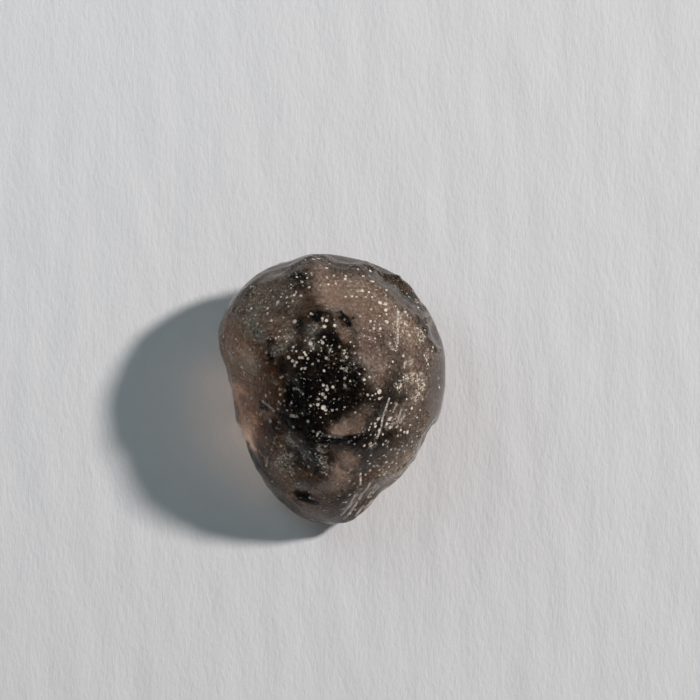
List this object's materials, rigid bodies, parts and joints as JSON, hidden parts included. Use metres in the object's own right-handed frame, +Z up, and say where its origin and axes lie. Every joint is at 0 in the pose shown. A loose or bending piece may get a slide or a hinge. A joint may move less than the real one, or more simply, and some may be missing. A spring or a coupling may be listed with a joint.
{
  "type": "tektite",
  "caption": "Pear-shaped pebble of translucent smoky-brown natural impact glass with a pitted, hollowed skin, resting on a small worn flat spot.",
  "frame": {"origin": "under the middle of the stone's box, on the surface that it rests on", "axes": "+Z up, +Y along the stone's length towards its broad end, +X across its width"},
  "size_m": [0.022, 0.026, 0.0155],
  "materials": {
    "smoky_glass": "translucent smoky brown natural glass, satin skin with fine pale pits, dusty patches and a few scratches"
  },
  "bodies": {
    "root": {"stone": "smoky_glass"}
  },
  "joints": []
}
